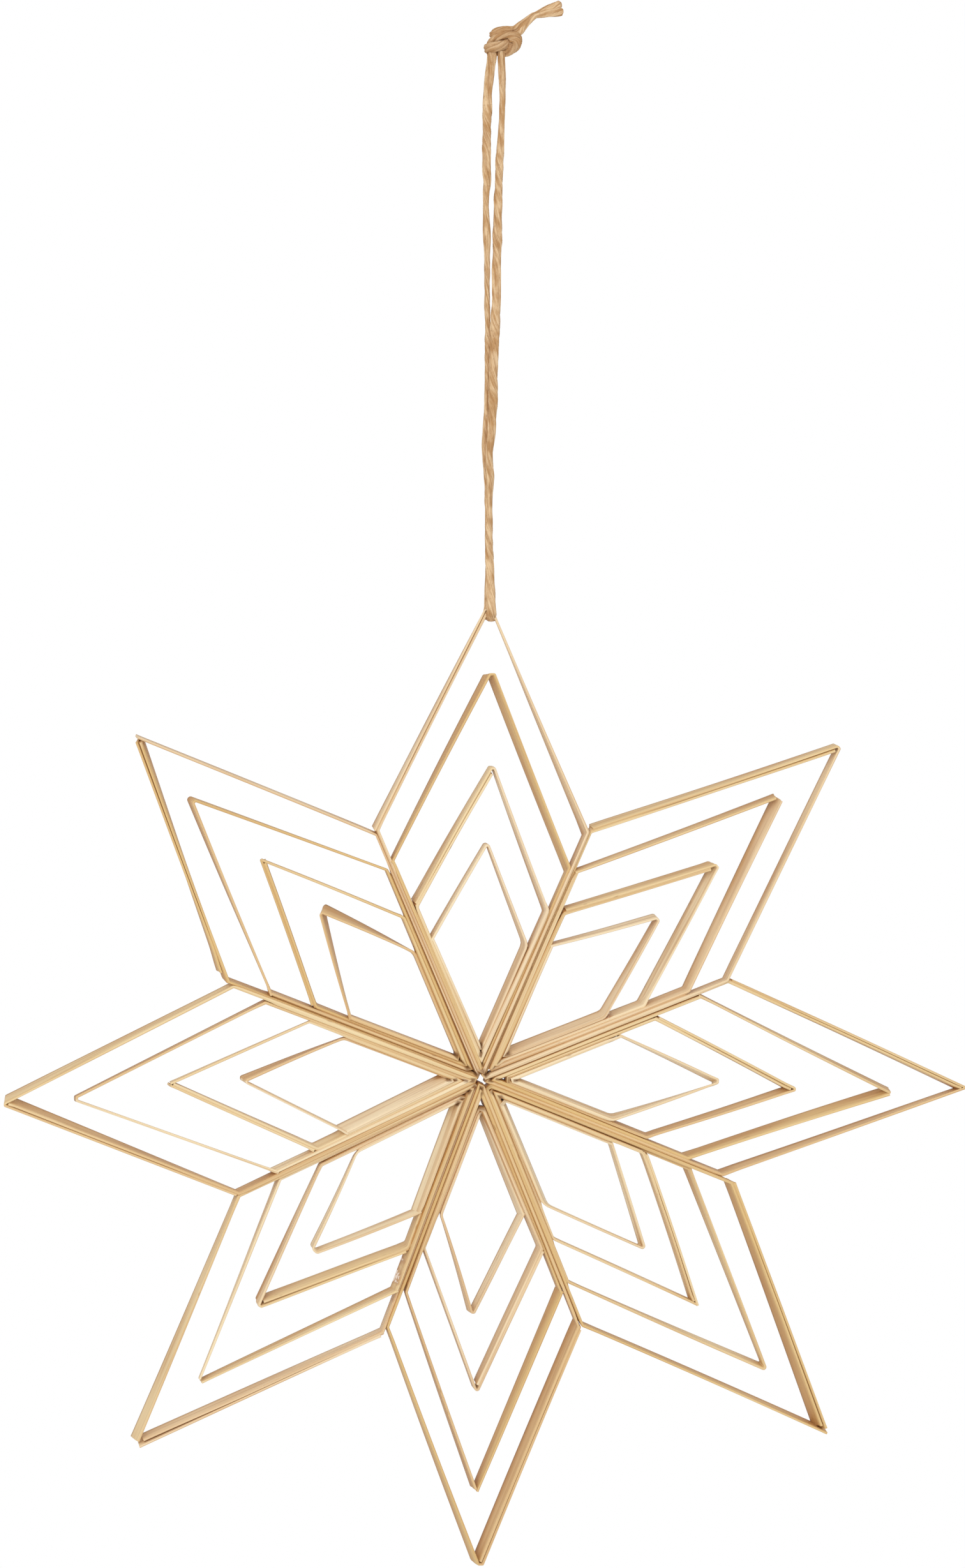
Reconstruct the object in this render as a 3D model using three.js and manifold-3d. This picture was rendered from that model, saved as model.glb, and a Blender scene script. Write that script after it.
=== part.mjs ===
import * as THREE from 'three';
import { mergeVertices } from 'three/addons/utils/BufferGeometryUtils.js';
import Module from 'manifold-3d';

// A hanging star folded from strips of split straw, in millimetres.
// Eight points of four nested frames each are glued together along eight spokes.
// The origin is where a hook takes the cord's loop, just under the knot.
// X runs to the right, Y to the back and Z up, so the star faces -Y.

// The strips stand on edge, so their width is the depth of the star.
const STRIP_WIDTH = 5.2;
const STRIP_THICKNESS = 0.56;
// From the middle of one strip to the middle of the next, where they lie side by side in a spoke.
const LAYER_PITCH = 0.88;
// Each sharp fold keeps a short flat, because straw can't be creased to a point.
const FOLD_FLAT = 0.55;

// A lapped strip goes round its frame and lies on its own first side again, with a slit between.
const LAP_SLIT = 0.12;
const LAP_INNER_END = 2;
const LAP_OUTER_END = 1;
// Any other strip starts this far inside the place where it ends.
const BUTT_GAP = 0.6;

// The hub's height, and where the four frames of a point leave its spokes, outermost first.
const HUB_Z = -253.5;
const LEAVE = [67.5, 57.6, 45.7, 36.3];
const LAPPED = [true, false, true, false];

// The points, clockwise from the top. Bearings are in degrees, clockwise from up.
// spoke is the bearing of the bundle on the point's clockwise side.
// reach and aim are the distance and bearing of the four tips from the hub.
// slide is how much further out its frames leave the anticlockwise and the clockwise spoke.
const POINTS = [
  { name: 'top', spoke: 23, slide: [1.5, -0.8],
    reach: [118.5, 101.7, 78.8, 59.4], aim: [0, 0.6, 1.2, 0.6] },
  { name: 'upper_right', spoke: 68.6, slide: [1.3, -0.9],
    reach: [122.1, 102.1, 79.5, 59.8], aim: [46.9, 46.4, 47.5, 47.7] },
  { name: 'right', spoke: 112.5, slide: [0.5, -0.8],
    reach: [123.5, 104.1, 79.9, 60.1], aim: [91.6, 92.6, 92.4, 91.3] },
  { name: 'lower_right', spoke: 157.4, slide: [0.6, 0.4],
    reach: [127.7, 105.1, 80.7, 60.5], aim: [135.4, 135.5, 136.1, 135.9] },
  { name: 'bottom', spoke: 199.9, slide: [0.2, -0.7],
    reach: [124.5, 104.9, 79.5, 59.7], aim: [179.3, 179.6, 179.8, 181] },
  { name: 'lower_left', spoke: 244.6, slide: [0.6, -0.5],
    reach: [124.9, 102.9, 79.4, 59.9], aim: [222.9, 222.3, 223.9, 223.6] },
  { name: 'left', spoke: 291.4, slide: [-0.9, -0.5],
    reach: [119.6, 101.6, 77.7, 59.1], aim: [267.5, 267.7, 269.3, 270.2] },
  { name: 'upper_left', spoke: 336.4, slide: [0, 0],
    reach: [122.5, 102.7, 79, 58.9], aim: [314.6, 314, 314.9, 315.9] },
];

// Twisted twine: one length, laid through the top point and knotted.
const CORD_DIAMETER = 1.8;
const CORD_SIDES = 8;
const CORD_STEP = 4;
// Round the top point's strip, from behind it to in front of it.
const BIGHT_RADIUS = 4.2;
const BIGHT_CENTRE = { x: 0.35, z: -136.3 };

// The loop's two strands, from the knot down. They hang apart, then lie one behind the other.
const BACK_STRAND = [
  [-1.5, 0, 0.7], [-2.2, 0, -8.5], [-2.2, 0, -18], [-1.9, 0, -28.5], [-2, 0, -36], [-1.7, 0, -43],
  [-1.5, 0.1, -50.5], [-1.3, 0.4, -58], [-1, 0.75, -66], [-0.9, 0.85, -75], [-0.7, 0.95, -83],
  [-0.9, 0.9, -91], [-0.4, 1.05, -99], [-0.1, 1.1, -108], [0, 1.2, -117], [0.15, 2.1, -125],
];
const FRONT_STRAND = [
  [1.2, 0, 0.4], [1.6, 0, -8.5], [1.3, 0, -18], [1.1, 0, -28.5], [0.95, 0, -36], [0.95, 0, -43],
  [0.95, -0.1, -50.5], [0.9, -0.4, -58], [0.6, -0.75, -66], [0.5, -0.85, -75], [0.5, -0.95, -83],
  [0.3, -1, -91], [0.2, -1.05, -99], [0.2, -1.1, -108], [0.3, -1.2, -117], [0.4, -2.1, -125],
];

// The knot, a tight overhand knot in both ends together, leans towards its two short ends.
const KNOT_CENTRE = [1.2, 0, 4.7];
const KNOT_LEAN = 24;
const KNOT_CORE = [4.4, 3, 3.7];
const KNOT_TURN_RADIUS = 2.9;
const KNOT_TURN_THICKNESS = 2;
const KNOT_TURNS = [
  { shift: -1.8, tilt: 72 },
  { shift: 1.7, tilt: 112 },
];
// The two ends leave the knot together, cross once and spread at their cuts.
const CORD_ENDS = [
  { name: 'cord_end_upper',
    route: [[4.7, -0.6, 7.5], [8, -1, 10.2], [10.6, 0, 12.4], [13.6, 0.5, 14.4], [16.6, 0, 15]] },
  { name: 'cord_end_lower',
    route: [[5.5, 1.3, 6.6], [8.7, 1.1, 9.3], [11.4, 2.1, 11.2], [14, -1.6, 11.8], [16.6, -0.6, 12.5]] },
];

const straw = new THREE.MeshStandardMaterial({ color: 0xe4c692, roughness: 0.5, metalness: 0 });
const twine = new THREE.MeshStandardMaterial({ color: 0xc9a470, roughness: 0.85, metalness: 0 });

function direction(bearing) {
  const angle = THREE.MathUtils.degToRad(bearing);
  return new THREE.Vector2(Math.sin(angle), Math.cos(angle));
}

function clockwise(ray) {
  return new THREE.Vector2(ray.y, -ray.x);
}

function from(start, ray, distance) {
  return start.clone().addScaledVector(ray, distance);
}

// The folds of one frame's strip, from end to end, in the plane of the star with the hub at (0, 0).
function framePath(point, firstSpoke, level) {
  const [first, second] = [direction(firstSpoke), direction(point.spoke)];
  const turn = (point.spoke - firstSpoke + 360) % 360;
  const halfTurn = THREE.MathUtils.degToRad(turn / 2);
  const layer = (level + 0.5) * LAYER_PITCH;
  const onFirst = (radius) => from(clockwise(first).multiplyScalar(layer), first, radius);
  const onSecond = (radius) => from(clockwise(second).multiplyScalar(-layer), second, radius);

  const hubRadius = layer / Math.tan(halfTurn) + FOLD_FLAT / (2 * Math.sin(halfTurn));
  const [firstLeave, secondLeave] = point.slide.map((slide) => LEAVE[level] + slide);
  const bend = onFirst(firstLeave);
  const axis = direction(point.aim[level]);
  const tip = axis.clone().multiplyScalar(point.reach[level] - STRIP_THICKNESS / 2);
  const tipBefore = from(tip, clockwise(axis), FOLD_FLAT / 2);
  const tipAfter = from(tip, clockwise(axis), -FOLD_FLAT / 2);
  const body = [onFirst(hubRadius), onSecond(hubRadius), onSecond(secondLeave), tipBefore, tipAfter];

  if (!LAPPED[level]) {
    return [onFirst(firstLeave - BUTT_GAP), ...body, bend];
  }
  const inward = bend.clone().sub(tipAfter).normalize();
  const lap = clockwise(inward).multiplyScalar(STRIP_THICKNESS + LAP_SLIT);
  const innerEnd = from(tipAfter.clone().sub(lap), inward, LAP_INNER_END);
  const outerEnd = from(bend.clone().add(lap), inward, -LAP_OUTER_END);
  return [innerEnd, bend, ...body, outerEnd];
}

// A strip seen on edge: half its thickness to either side of the path, mitred at the folds.
function stripOutline(path) {
  const normals = path.slice(1).map((fold, i) => clockwise(fold.clone().sub(path[i]).normalize()));
  const mitres = path.map((fold, i) => {
    const before = normals[Math.max(i - 1, 0)];
    const after = normals[Math.min(i, normals.length - 1)];
    return before.clone().add(after).divideScalar(1 + before.dot(after));
  });
  const side = (distance) => path.map((fold, i) => from(fold, mitres[i], distance));
  return [...side(STRIP_THICKNESS / 2), ...side(-STRIP_THICKNESS / 2).reverse()];
}

function strawFrame(name, path) {
  const shape = new THREE.Shape(stripOutline(path));
  const geometry = new THREE.ExtrudeGeometry(shape, { depth: STRIP_WIDTH, bevelEnabled: false });
  // The outline's second axis becomes Z, and the strip's width runs from back to front.
  geometry.rotateX(Math.PI / 2);
  geometry.translate(0, STRIP_WIDTH / 2, 0);
  const mesh = new THREE.Mesh(geometry, straw);
  mesh.name = name;
  return mesh;
}

function buildStar() {
  const star = new THREE.Group();
  star.position.z = HUB_Z;
  POINTS.forEach((point, i) => {
    const firstSpoke = POINTS.at(i - 1).spoke;
    LEAVE.forEach((_, level) => {
      const name = `${point.name}_frame_${level + 1}`;
      star.add(strawFrame(name, framePath(point, firstSpoke, level)));
    });
  });
  return star;
}

function cordTube(name, route) {
  const curve = new THREE.CatmullRomCurve3(route.map((place) => new THREE.Vector3(...place)));
  const section = Array.from({ length: CORD_SIDES }, (_, i) => {
    const angle = (2 * Math.PI * i) / CORD_SIDES;
    return new THREE.Vector2(Math.cos(angle), Math.sin(angle)).multiplyScalar(CORD_DIAMETER / 2);
  });
  const steps = Math.round(curve.getLength() / CORD_STEP);
  const options = { steps, extrudePath: curve, bevelEnabled: false };
  const mesh = new THREE.Mesh(new THREE.ExtrudeGeometry(new THREE.Shape(section), options), twine);
  mesh.name = name;
  return mesh;
}

// Down the back strand, under the tip of the top point, and up the front strand.
function loopRoute() {
  const bight = [0, 45, 90, 135, 180].map((degrees) => {
    const angle = THREE.MathUtils.degToRad(degrees);
    return [
      BIGHT_CENTRE.x,
      BIGHT_RADIUS * Math.cos(angle),
      BIGHT_CENTRE.z - BIGHT_RADIUS * Math.sin(angle),
    ];
  });
  return [...BACK_STRAND, ...bight, ...FRONT_STRAND.toReversed()];
}

const wasm = await Module();
wasm.setup();

function toSolid(geometry) {
  const bare = new THREE.BufferGeometry();
  bare.setAttribute('position', geometry.attributes.position);
  bare.setIndex(geometry.index);
  const merged = mergeVertices(bare, 1e-4);
  const vertProperties = new Float32Array(merged.attributes.position.array);
  const triVerts = new Uint32Array(merged.index.array);
  return new wasm.Manifold(new wasm.Mesh({ numProp: 3, vertProperties, triVerts }));
}

function toGeometry(solid) {
  const { vertProperties, triVerts } = solid.getMesh();
  const geometry = new THREE.BufferGeometry();
  geometry.setAttribute('position', new THREE.BufferAttribute(vertProperties, 3));
  geometry.setIndex(new THREE.BufferAttribute(triVerts, 1));
  geometry.computeVertexNormals();
  return geometry;
}

function buildKnot() {
  const core = new THREE.SphereGeometry(1, 14, 9).scale(...KNOT_CORE);
  const turns = KNOT_TURNS.map(({ shift, tilt }) => {
    const turn = new THREE.TorusGeometry(KNOT_TURN_RADIUS, KNOT_TURN_THICKNESS / 2, 8, 16);
    turn.rotateY(THREE.MathUtils.degToRad(tilt));
    return turn.translate(shift, 0, 0);
  });
  const solid = turns.reduce((whole, turn) => whole.add(toSolid(turn)), toSolid(core));
  const knot = new THREE.Mesh(toGeometry(solid), twine);
  knot.name = 'knot';
  knot.position.set(...KNOT_CENTRE);
  knot.rotation.y = THREE.MathUtils.degToRad(-KNOT_LEAN);
  return knot;
}

const ornament = new THREE.Group();
ornament.add(buildStar());
ornament.add(cordTube('cord_loop', loopRoute()));
ornament.add(buildKnot());
CORD_ENDS.forEach(({ name, route }) => ornament.add(cordTube(name, route)));

export default ornament;
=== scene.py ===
# %% [markdown]
# # A hanging star of folded straw
# The star has eight points, and each point is four frames, one inside the other. Every frame is one
# strip of split straw, folded like a paper ribbon and standing on edge, and all the frames are glued
# together along eight spokes. A length of raffia twine goes through the top point and is knotted.
#
# The frame that is loaded first holds the star's real solids, with their true sizes. This lesson
# keeps every size from there and adds what the solids leave out: soft edges, worn folds, cut ends,
# the grain of the straw and the creases of the raffia.

# %% Load the solids
import math

import bmesh
import bpy
import numpy as np
from mathutils import Matrix, Vector
from numpy.linalg import norm


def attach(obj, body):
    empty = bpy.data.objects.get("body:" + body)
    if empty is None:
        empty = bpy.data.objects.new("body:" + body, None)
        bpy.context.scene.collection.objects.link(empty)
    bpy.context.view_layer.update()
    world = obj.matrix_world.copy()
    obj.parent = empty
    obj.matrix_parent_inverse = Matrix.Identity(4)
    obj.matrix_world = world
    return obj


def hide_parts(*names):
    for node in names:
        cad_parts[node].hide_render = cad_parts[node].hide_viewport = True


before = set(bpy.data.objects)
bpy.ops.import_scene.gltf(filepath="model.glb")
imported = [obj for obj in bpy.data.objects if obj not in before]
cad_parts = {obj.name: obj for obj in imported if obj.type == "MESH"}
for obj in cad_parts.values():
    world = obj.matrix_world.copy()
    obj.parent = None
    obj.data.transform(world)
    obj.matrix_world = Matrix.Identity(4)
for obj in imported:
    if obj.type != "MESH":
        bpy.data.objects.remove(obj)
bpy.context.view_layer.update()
MM = 0.001

# %% [markdown]
# ## The camera
# The star hangs upright, and the camera looks at it from a little to the left and a little above:
# that is why the broad sides of strips that face left or up show, while the others are seen on edge.
# A long lens from two metres away keeps all eight points nearly the same size. The camera's three
# axes are worked out one by one, because the picture is also tilted by almost a degree.

# %% Camera
IMAGE_HEIGHT = 2457
PIXELS_PER_METRE = 6300
SENSOR_WIDTH = 36
CAMERA_DISTANCE = 2.2
CAMERA_AZIMUTH = math.radians(-8.4)
CAMERA_ELEVATION = math.radians(8.4)
CAMERA_TILT = math.radians(0.94)
CAMERA_AIM = Vector((-0.6, -0.5, -179.2)) * MM

backward = Vector((math.sin(CAMERA_AZIMUTH) * math.cos(CAMERA_ELEVATION),
                   -math.cos(CAMERA_AZIMUTH) * math.cos(CAMERA_ELEVATION),
                   math.sin(CAMERA_ELEVATION)))
level = Vector((0, 0, 1)).cross(backward).normalized()
upward = backward.cross(level)
right = level * math.cos(CAMERA_TILT) + upward * math.sin(CAMERA_TILT)
up = upward * math.cos(CAMERA_TILT) - level * math.sin(CAMERA_TILT)

camera = bpy.data.objects.new("camera", bpy.data.cameras.new("camera"))
bpy.context.collection.objects.link(camera)
camera.matrix_world = (Matrix.Translation(CAMERA_AIM + backward * CAMERA_DISTANCE)
                       @ Matrix((right, up, backward)).transposed().to_4x4())
# The sensor's width, in millimetres, runs along the picture's longer side.
camera.data.lens = SENSOR_WIDTH * PIXELS_PER_METRE * CAMERA_DISTANCE / IMAGE_HEIGHT
bpy.context.scene.camera = camera
print("lens in mm:", round(camera.data.lens, 1))

# %% [markdown]
# ## Shader sums in plain Python
# A finish is a network of nodes. Written out by hand, each sum takes four lines, so a small class
# wraps a node's output and turns `1 - streak * 0.3` into the Math nodes that do it. Colours go
# through Mix nodes, because a Math node would make them grey. A look is built up like paint: a base
# colour, and coats over it that show where some noise or some number of the mesh is high.

# %% A wire, and a finish that makes nodes


class Wire:
    """A node's output, which sums can be written with."""

    def __init__(self, finish, socket):
        self.finish = finish
        self.socket = socket

    def sum_node(self, operation, *terms):
        return self.finish.node("ShaderNodeMath", {"operation": operation}, dict(enumerate(terms)))

    def __add__(self, other):
        return self.sum_node("ADD", self, other)

    def __rsub__(self, other):
        return self.sum_node("SUBTRACT", other, self)

    def __mul__(self, other):
        return self.sum_node("MULTIPLY", self, other)

    __radd__ = __add__
    __rmul__ = __mul__


class Finish:
    """The nodes of one material, or of the world."""

    def __init__(self, owner):
        owner.use_nodes = True
        self.tree = owner.node_tree
        self.tree.nodes.clear()

    def node(self, kind, settings=None, sockets=None, out=0):
        made = self.tree.nodes.new(kind)
        for name, value in (settings or {}).items():
            setattr(made, name, value)
        for key, value in (sockets or {}).items():
            if isinstance(value, Wire):
                self.tree.links.new(value.socket, made.inputs[key])
            else:
                made.inputs[key].default_value = value
        return Wire(self, made.outputs[out]) if made.outputs else made

    def mix(self, share, first, second):
        settings = {"data_type": "RGBA", "blend_type": "MIX", "clamp_factor": True}
        return self.node("ShaderNodeMix", settings, {0: share, 6: first, 7: second}, out=2)

    def noise(self, place, detail):
        return self.node("ShaderNodeTexNoise", {"noise_dimensions": "3D"},
                         {"Vector": place, "Scale": 1.0, "Detail": detail})

    def between(self, value, low, high):
        """0 where the value is under low, 1 over high, and a smooth step between."""
        return self.node("ShaderNodeMapRange", {"interpolation_type": "SMOOTHSTEP", "clamp": True},
                         {"Value": value, "From Min": low, "From Max": high, "To Min": 0.0, "To Max": 1.0})

    def stretched(self, attribute, scale):
        """A mesh attribute's vector, multiplied along each of its axes."""
        place = self.node("ShaderNodeAttribute", {"attribute_name": attribute}, out="Vector")
        return self.node("ShaderNodeVectorMath", {"operation": "MULTIPLY"}, {0: place, 1: scale})

    def shade(self, attribute):
        """A mesh attribute that is one number."""
        return self.node("ShaderNodeAttribute", {"attribute_name": attribute}, out="Fac")

    def painted(self, base, coats):
        """A base colour under coats of paint, each given as where, from, to, how strong and its colour."""
        for where, low, high, strength, paint in coats:
            base = self.mix(self.between(where, low, high) * strength, base, colour(*paint))
        return base

    def surface(self, sockets):
        shader = self.node("ShaderNodeBsdfPrincipled", None, sockets)
        self.node("ShaderNodeOutputMaterial", None, {"Surface": shader})


def colour(red, green, blue):
    """A colour as a paint chart gives it, from 0 to 255, made linear for the shader."""
    parts = [c / 255 for c in (red, green, blue)]
    return [c / 12.92 if c <= 0.04045 else ((c + 0.055) / 1.055) ** 2.4 for c in parts] + [1.0]


print("straw in linear light:", [round(c, 2) for c in colour(236, 208, 160)])

# %% [markdown]
# ## Light and floor
# The star hangs in a white studio. Nearly all the light comes from the front: the front edges of the
# strips are the palest, and their broad sides, which are seen at a slant, are a good deal browner.
# Lamps alone would throw hard shadows between the strips, so the walls do most of the work. They are
# bright in front and dim behind. One large soft lamp in front, above and to the left adds a little
# direction. The floor is far below, out of the picture. Seen by the camera the walls are pure white.

# %% World, lamp and floor
FRONT_WALL = 0.85
BACK_WALL = 0.72
WALL_BLEND = 0.75
LAMP_WIDTH = 1.4
LAMP_WATTS = 14
LAMP_PLACE = Vector((-0.75, -2.0, 0.75))
FLOOR_HEIGHT = -0.75
FLOOR_RADIUS = 1.0
FLOOR_GREY = (0.86, 0.86, 0.85, 1)
studio = bpy.context.scene.world or bpy.data.worlds.new("studio")
bpy.context.scene.world = studio
walls = Finish(studio)
way = walls.node("ShaderNodeTexCoord", out="Generated")
towards_back = walls.node("ShaderNodeSeparateXYZ", None, {0: way}, out="Y")
front, back, backdrop = [
    walls.node("ShaderNodeBackground", None, {"Color": (1, 1, 1, 1), "Strength": strength})
    for strength in (FRONT_WALL, BACK_WALL, 1.0)]
share = walls.between(towards_back, -WALL_BLEND, WALL_BLEND)
lighting = walls.node("ShaderNodeMixShader", None, {0: share, 1: front, 2: back})
seen_by_camera = walls.node("ShaderNodeLightPath", out="Is Camera Ray")
both = walls.node("ShaderNodeMixShader", None, {0: seen_by_camera, 1: lighting, 2: backdrop})
walls.node("ShaderNodeOutputWorld", None, {"Surface": both})
bpy.context.scene.view_settings.view_transform = "Standard"

lamp = bpy.data.objects.new("lamp", bpy.data.lights.new("lamp", "AREA"))
lamp.data.shape = "DISK"
lamp.data.size = LAMP_WIDTH
lamp.data.energy = LAMP_WATTS
lamp.location = LAMP_PLACE
lamp.rotation_euler = (CAMERA_AIM - LAMP_PLACE).to_track_quat("-Z", "Y").to_euler()
bpy.context.collection.objects.link(lamp)

bpy.ops.mesh.primitive_circle_add(vertices=128, radius=FLOOR_RADIUS, fill_type="NGON",
                                  location=(0, 0, FLOOR_HEIGHT))
floor = bpy.context.object
floor.name = "floor"
floor_paint = bpy.data.materials.new("floor_paint")
Finish(floor_paint).surface({"Base Color": FLOOR_GREY, "Roughness": 0.7})
floor.data.materials.append(floor_paint)

# %% [markdown]
# ## Sweeping a section along a line
# Twine and straw are both one section carried along a line: rings of points, each joined to the next
# by four-sided faces. Beside each point the mesh keeps where it is along the length and across the
# section, so that the grain and the creases follow every bend. Nothing on the star is quite even, so
# a few slow waves of random height and length are at hand too.

# %% From rings to a mesh
ANY_PHASE = 6.3
CURVE_STEPS = 24


def ring_faces(rings, count):
    """Faces between neighbouring rings of count points each."""
    return [(i * count + j, i * count + (j + 1) % count,
             (i + 1) * count + (j + 1) % count, (i + 1) * count + j)
            for i in range(rings - 1) for j in range(count)]


def make_piece(name, points, faces, grain, shades, sharp=40):
    """A mesh object in metres from points in millimetres, with its grain and its shades as attributes."""
    mesh = bpy.data.meshes.new(name)
    mesh.from_pydata((np.asarray(points) * MM).tolist(), [], faces)
    tidy = bmesh.new()
    tidy.from_mesh(mesh)
    bmesh.ops.recalc_face_normals(tidy, faces=tidy.faces)
    tidy.to_mesh(mesh)
    tidy.free()
    mesh.attributes.new("grain", "FLOAT_VECTOR", "POINT").data.foreach_set("vector", np.ravel(grain))
    for shade, value in shades.items():
        values = np.full(len(points), value)
        mesh.attributes.new(shade, "FLOAT", "POINT").data.foreach_set("value", values)
    mesh.shade_smooth()
    mesh.set_sharp_from_angle(angle=math.radians(sharp))
    piece = bpy.data.objects.new(name, mesh)
    bpy.context.collection.objects.link(piece)
    return piece


def unit(vectors):
    vectors = np.asarray(vectors, float)
    return vectors / norm(vectors, axis=-1, keepdims=True)


def waves(run, rng, count, heights, lengths):
    """The sum of a few slow waves, each with a height, a length and a start that are drawn."""
    return sum(rng.uniform(*heights) * np.sin(run / rng.uniform(*lengths) + rng.uniform(0, ANY_PHASE))
               for _ in range(count))


def length_along(line):
    """How far along a line each of its points is."""
    return np.concatenate([[0], np.cumsum(norm(np.diff(line, axis=0), axis=1))])


def through(places, step):
    """Evenly spaced points on a smooth curve through the given places, and how far along each one is."""
    places = np.asarray(places, float)
    padded = np.vstack([2 * places[0] - places[1], places, 2 * places[-1] - places[-2]])
    fine = []
    for a, b, c, d in zip(padded, padded[1:], padded[2:], padded[3:]):
        for t in np.linspace(0, 1, CURVE_STEPS, endpoint=False):
            fine.append(0.5 * (2 * b + (c - a) * t + (2 * a - 5 * b + 4 * c - d) * t ** 2
                               + (3 * b - a - 3 * c + d) * t ** 3))
    fine = np.array(fine + [places[-1]])
    run = length_along(fine)
    marks = np.linspace(0, run[-1], max(2, round(run[-1] / step)) + 1)
    line = np.column_stack([np.interp(marks, run, fine[:, k]) for k in range(fine.shape[1])])
    return line, marks


print("a smooth line through a corner:", through([(0, 0), (4, 0), (4, 4)], 2)[0].round(1).tolist())

# %% [markdown]
# ## The raffia
# The twine is raffia: a limp ribbon of leaf, loosely twisted until it is nearly round, so it is
# broad in one place and narrow in the next, and its creases run round it like the thread of a screw.
# It could be a curve with a round bevel, but that gives a smooth wire. Here each ring is a flattened
# oval. Soft creases and one deeper fold, the ribbon's own edge, wind round it from ring to ring.

# %% A raffia strand
RING_POINTS = 36
# The twist in radians for each millimetre, and the waves that make it uneven: height, length, start.
TWIST = 0.26
TWIST_WAVES = ((0.7, 7.3, 1), (0.4, 2.9, 2))
SWELL = {"count": 5, "heights": (0.015, 0.035), "lengths": (0.9, 5)}
# How many creases of a kind go round, and how deep they are as a share of the strand's half width.
CREASES = ((2, 0.02), (3, 0.04), (5, 0.04), (9, 0.03), (13, 0.02))
CREASE_DRIFT = (3, 8)
CREASE_SHADE = 6
LEAF_EDGE_DEPTH = 0.14
LEAF_EDGE_SPREAD = 0.24
# A cut end is rounded over its last half millimetre, has shallower creases and isn't quite square.
CUT_ROUND = 0.5
CUT_SIZE = 0.6
CUT_CREASES = 0.3
CUT_SLOPE = 0.25
ring_angles = np.arange(RING_POINTS) * 2 * math.pi / RING_POINTS


def raffia(line, run, broad_way, half_broad, half_thin, seed, gathered=1, cut=False):
    """Points, faces, grain and the painted shade of the creases of one strand. broad_way is each ring's
    longer axis.
    """
    rng = np.random.default_rng(seed)
    ahead = unit(np.gradient(line, axis=0))
    broad = unit(broad_way - ahead * np.sum(broad_way * ahead, axis=1, keepdims=True))
    thin = np.cross(ahead, broad)
    swell = waves(run, rng, **SWELL)
    uneven = sum(height * np.sin(run / length + start * seed) for height, length, start in TWIST_WAVES)
    winding = ring_angles[None, :] + (TWIST * run + uneven)[:, None]
    creases = sum(depth * np.cos(lobes * winding + rng.uniform(0, ANY_PHASE)
                                 + np.sin(run / rng.uniform(*CREASE_DRIFT)
                                          + rng.uniform(0, ANY_PHASE))[:, None])
                  for lobes, depth in CREASES)
    off_edge = (np.mod(winding, 2 * math.pi) - math.pi) / LEAF_EDGE_SPREAD
    creases -= LEAF_EDGE_DEPTH * np.exp(-off_edge ** 2)
    creases *= gathered
    left = np.clip((run[-1] - run) / CUT_ROUND, 0, 1)[:, None] if cut else 1
    creases *= CUT_CREASES + (1 - CUT_CREASES) * left
    size = (1 + swell)[:, None] * (1 + creases)
    size *= CUT_SIZE + (1 - CUT_SIZE) * np.sqrt(left * (2 - left))
    across = np.cos(ring_angles)[None, :] * size * half_broad[:, None]
    rise = np.sin(ring_angles)[None, :] * size * half_thin[:, None]
    points = line[:, None] + broad[:, None] * across[..., None] + thin[:, None] * rise[..., None]
    if cut:
        points[-1] += ahead[-1] * CUT_SLOPE * np.cos(ring_angles + rng.uniform(0, ANY_PHASE))[:, None]
    along = np.broadcast_to(run[:, None], winding.shape)
    grain = np.stack([along, np.cos(winding), np.sin(winding)], axis=-1)
    faces = ring_faces(len(run), RING_POINTS)
    faces.append(tuple(range(RING_POINTS)))
    faces.append(tuple(range((len(run) - 1) * RING_POINTS, len(run) * RING_POINTS)))
    # How much painted shade each point gets, more in deeper creases.
    crease_shading = np.clip(-creases * CREASE_SHADE, 0, 1)
    return points.reshape(-1, 3), faces, grain.reshape(-1, 3) * MM, crease_shading.ravel()


def carried_along(line, start):
    """A sideways direction that is carried along a line without turning about it."""
    ahead = unit(np.gradient(line, axis=0))
    ways = [unit(np.asarray(start, float) - ahead[0] * np.dot(start, ahead[0]))]
    for way in ahead[1:]:
        ways.append(unit(ways[-1] - way * np.dot(ways[-1], way)))
    return np.array(ways)


print("each ring of raffia has", RING_POINTS, "points")

# %% [markdown]
# ## The loop
# The loop is one stretch of twine. From the knot it goes down the back strand, under the tip of the
# top point from behind to in front, and up the front strand again. The two strands hang side by side
# near the knot, and lower down one lies in front of the other. Its places are the solid cord's own,
# in millimetres, with both ends drawn on into the knot and the bight pulled up tight under the tip.
# A fourth number gives half the ribbon's width there, because it narrows and widens as it twists.

# %% Loop
BIGHT_RADIUS = 3.5
BIGHT_CENTRE = (0.4, -134.2)
BIGHT_WIDTHS = (0.75, 1.2, 1.55, 1.5, 1.15)
LOOP_STEP = 0.5
# Half the ribbon's thickness, and how much is added to it where the ribbon is broad.
LOOP_THIN = 0.45
THICKER = 0.2
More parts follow.
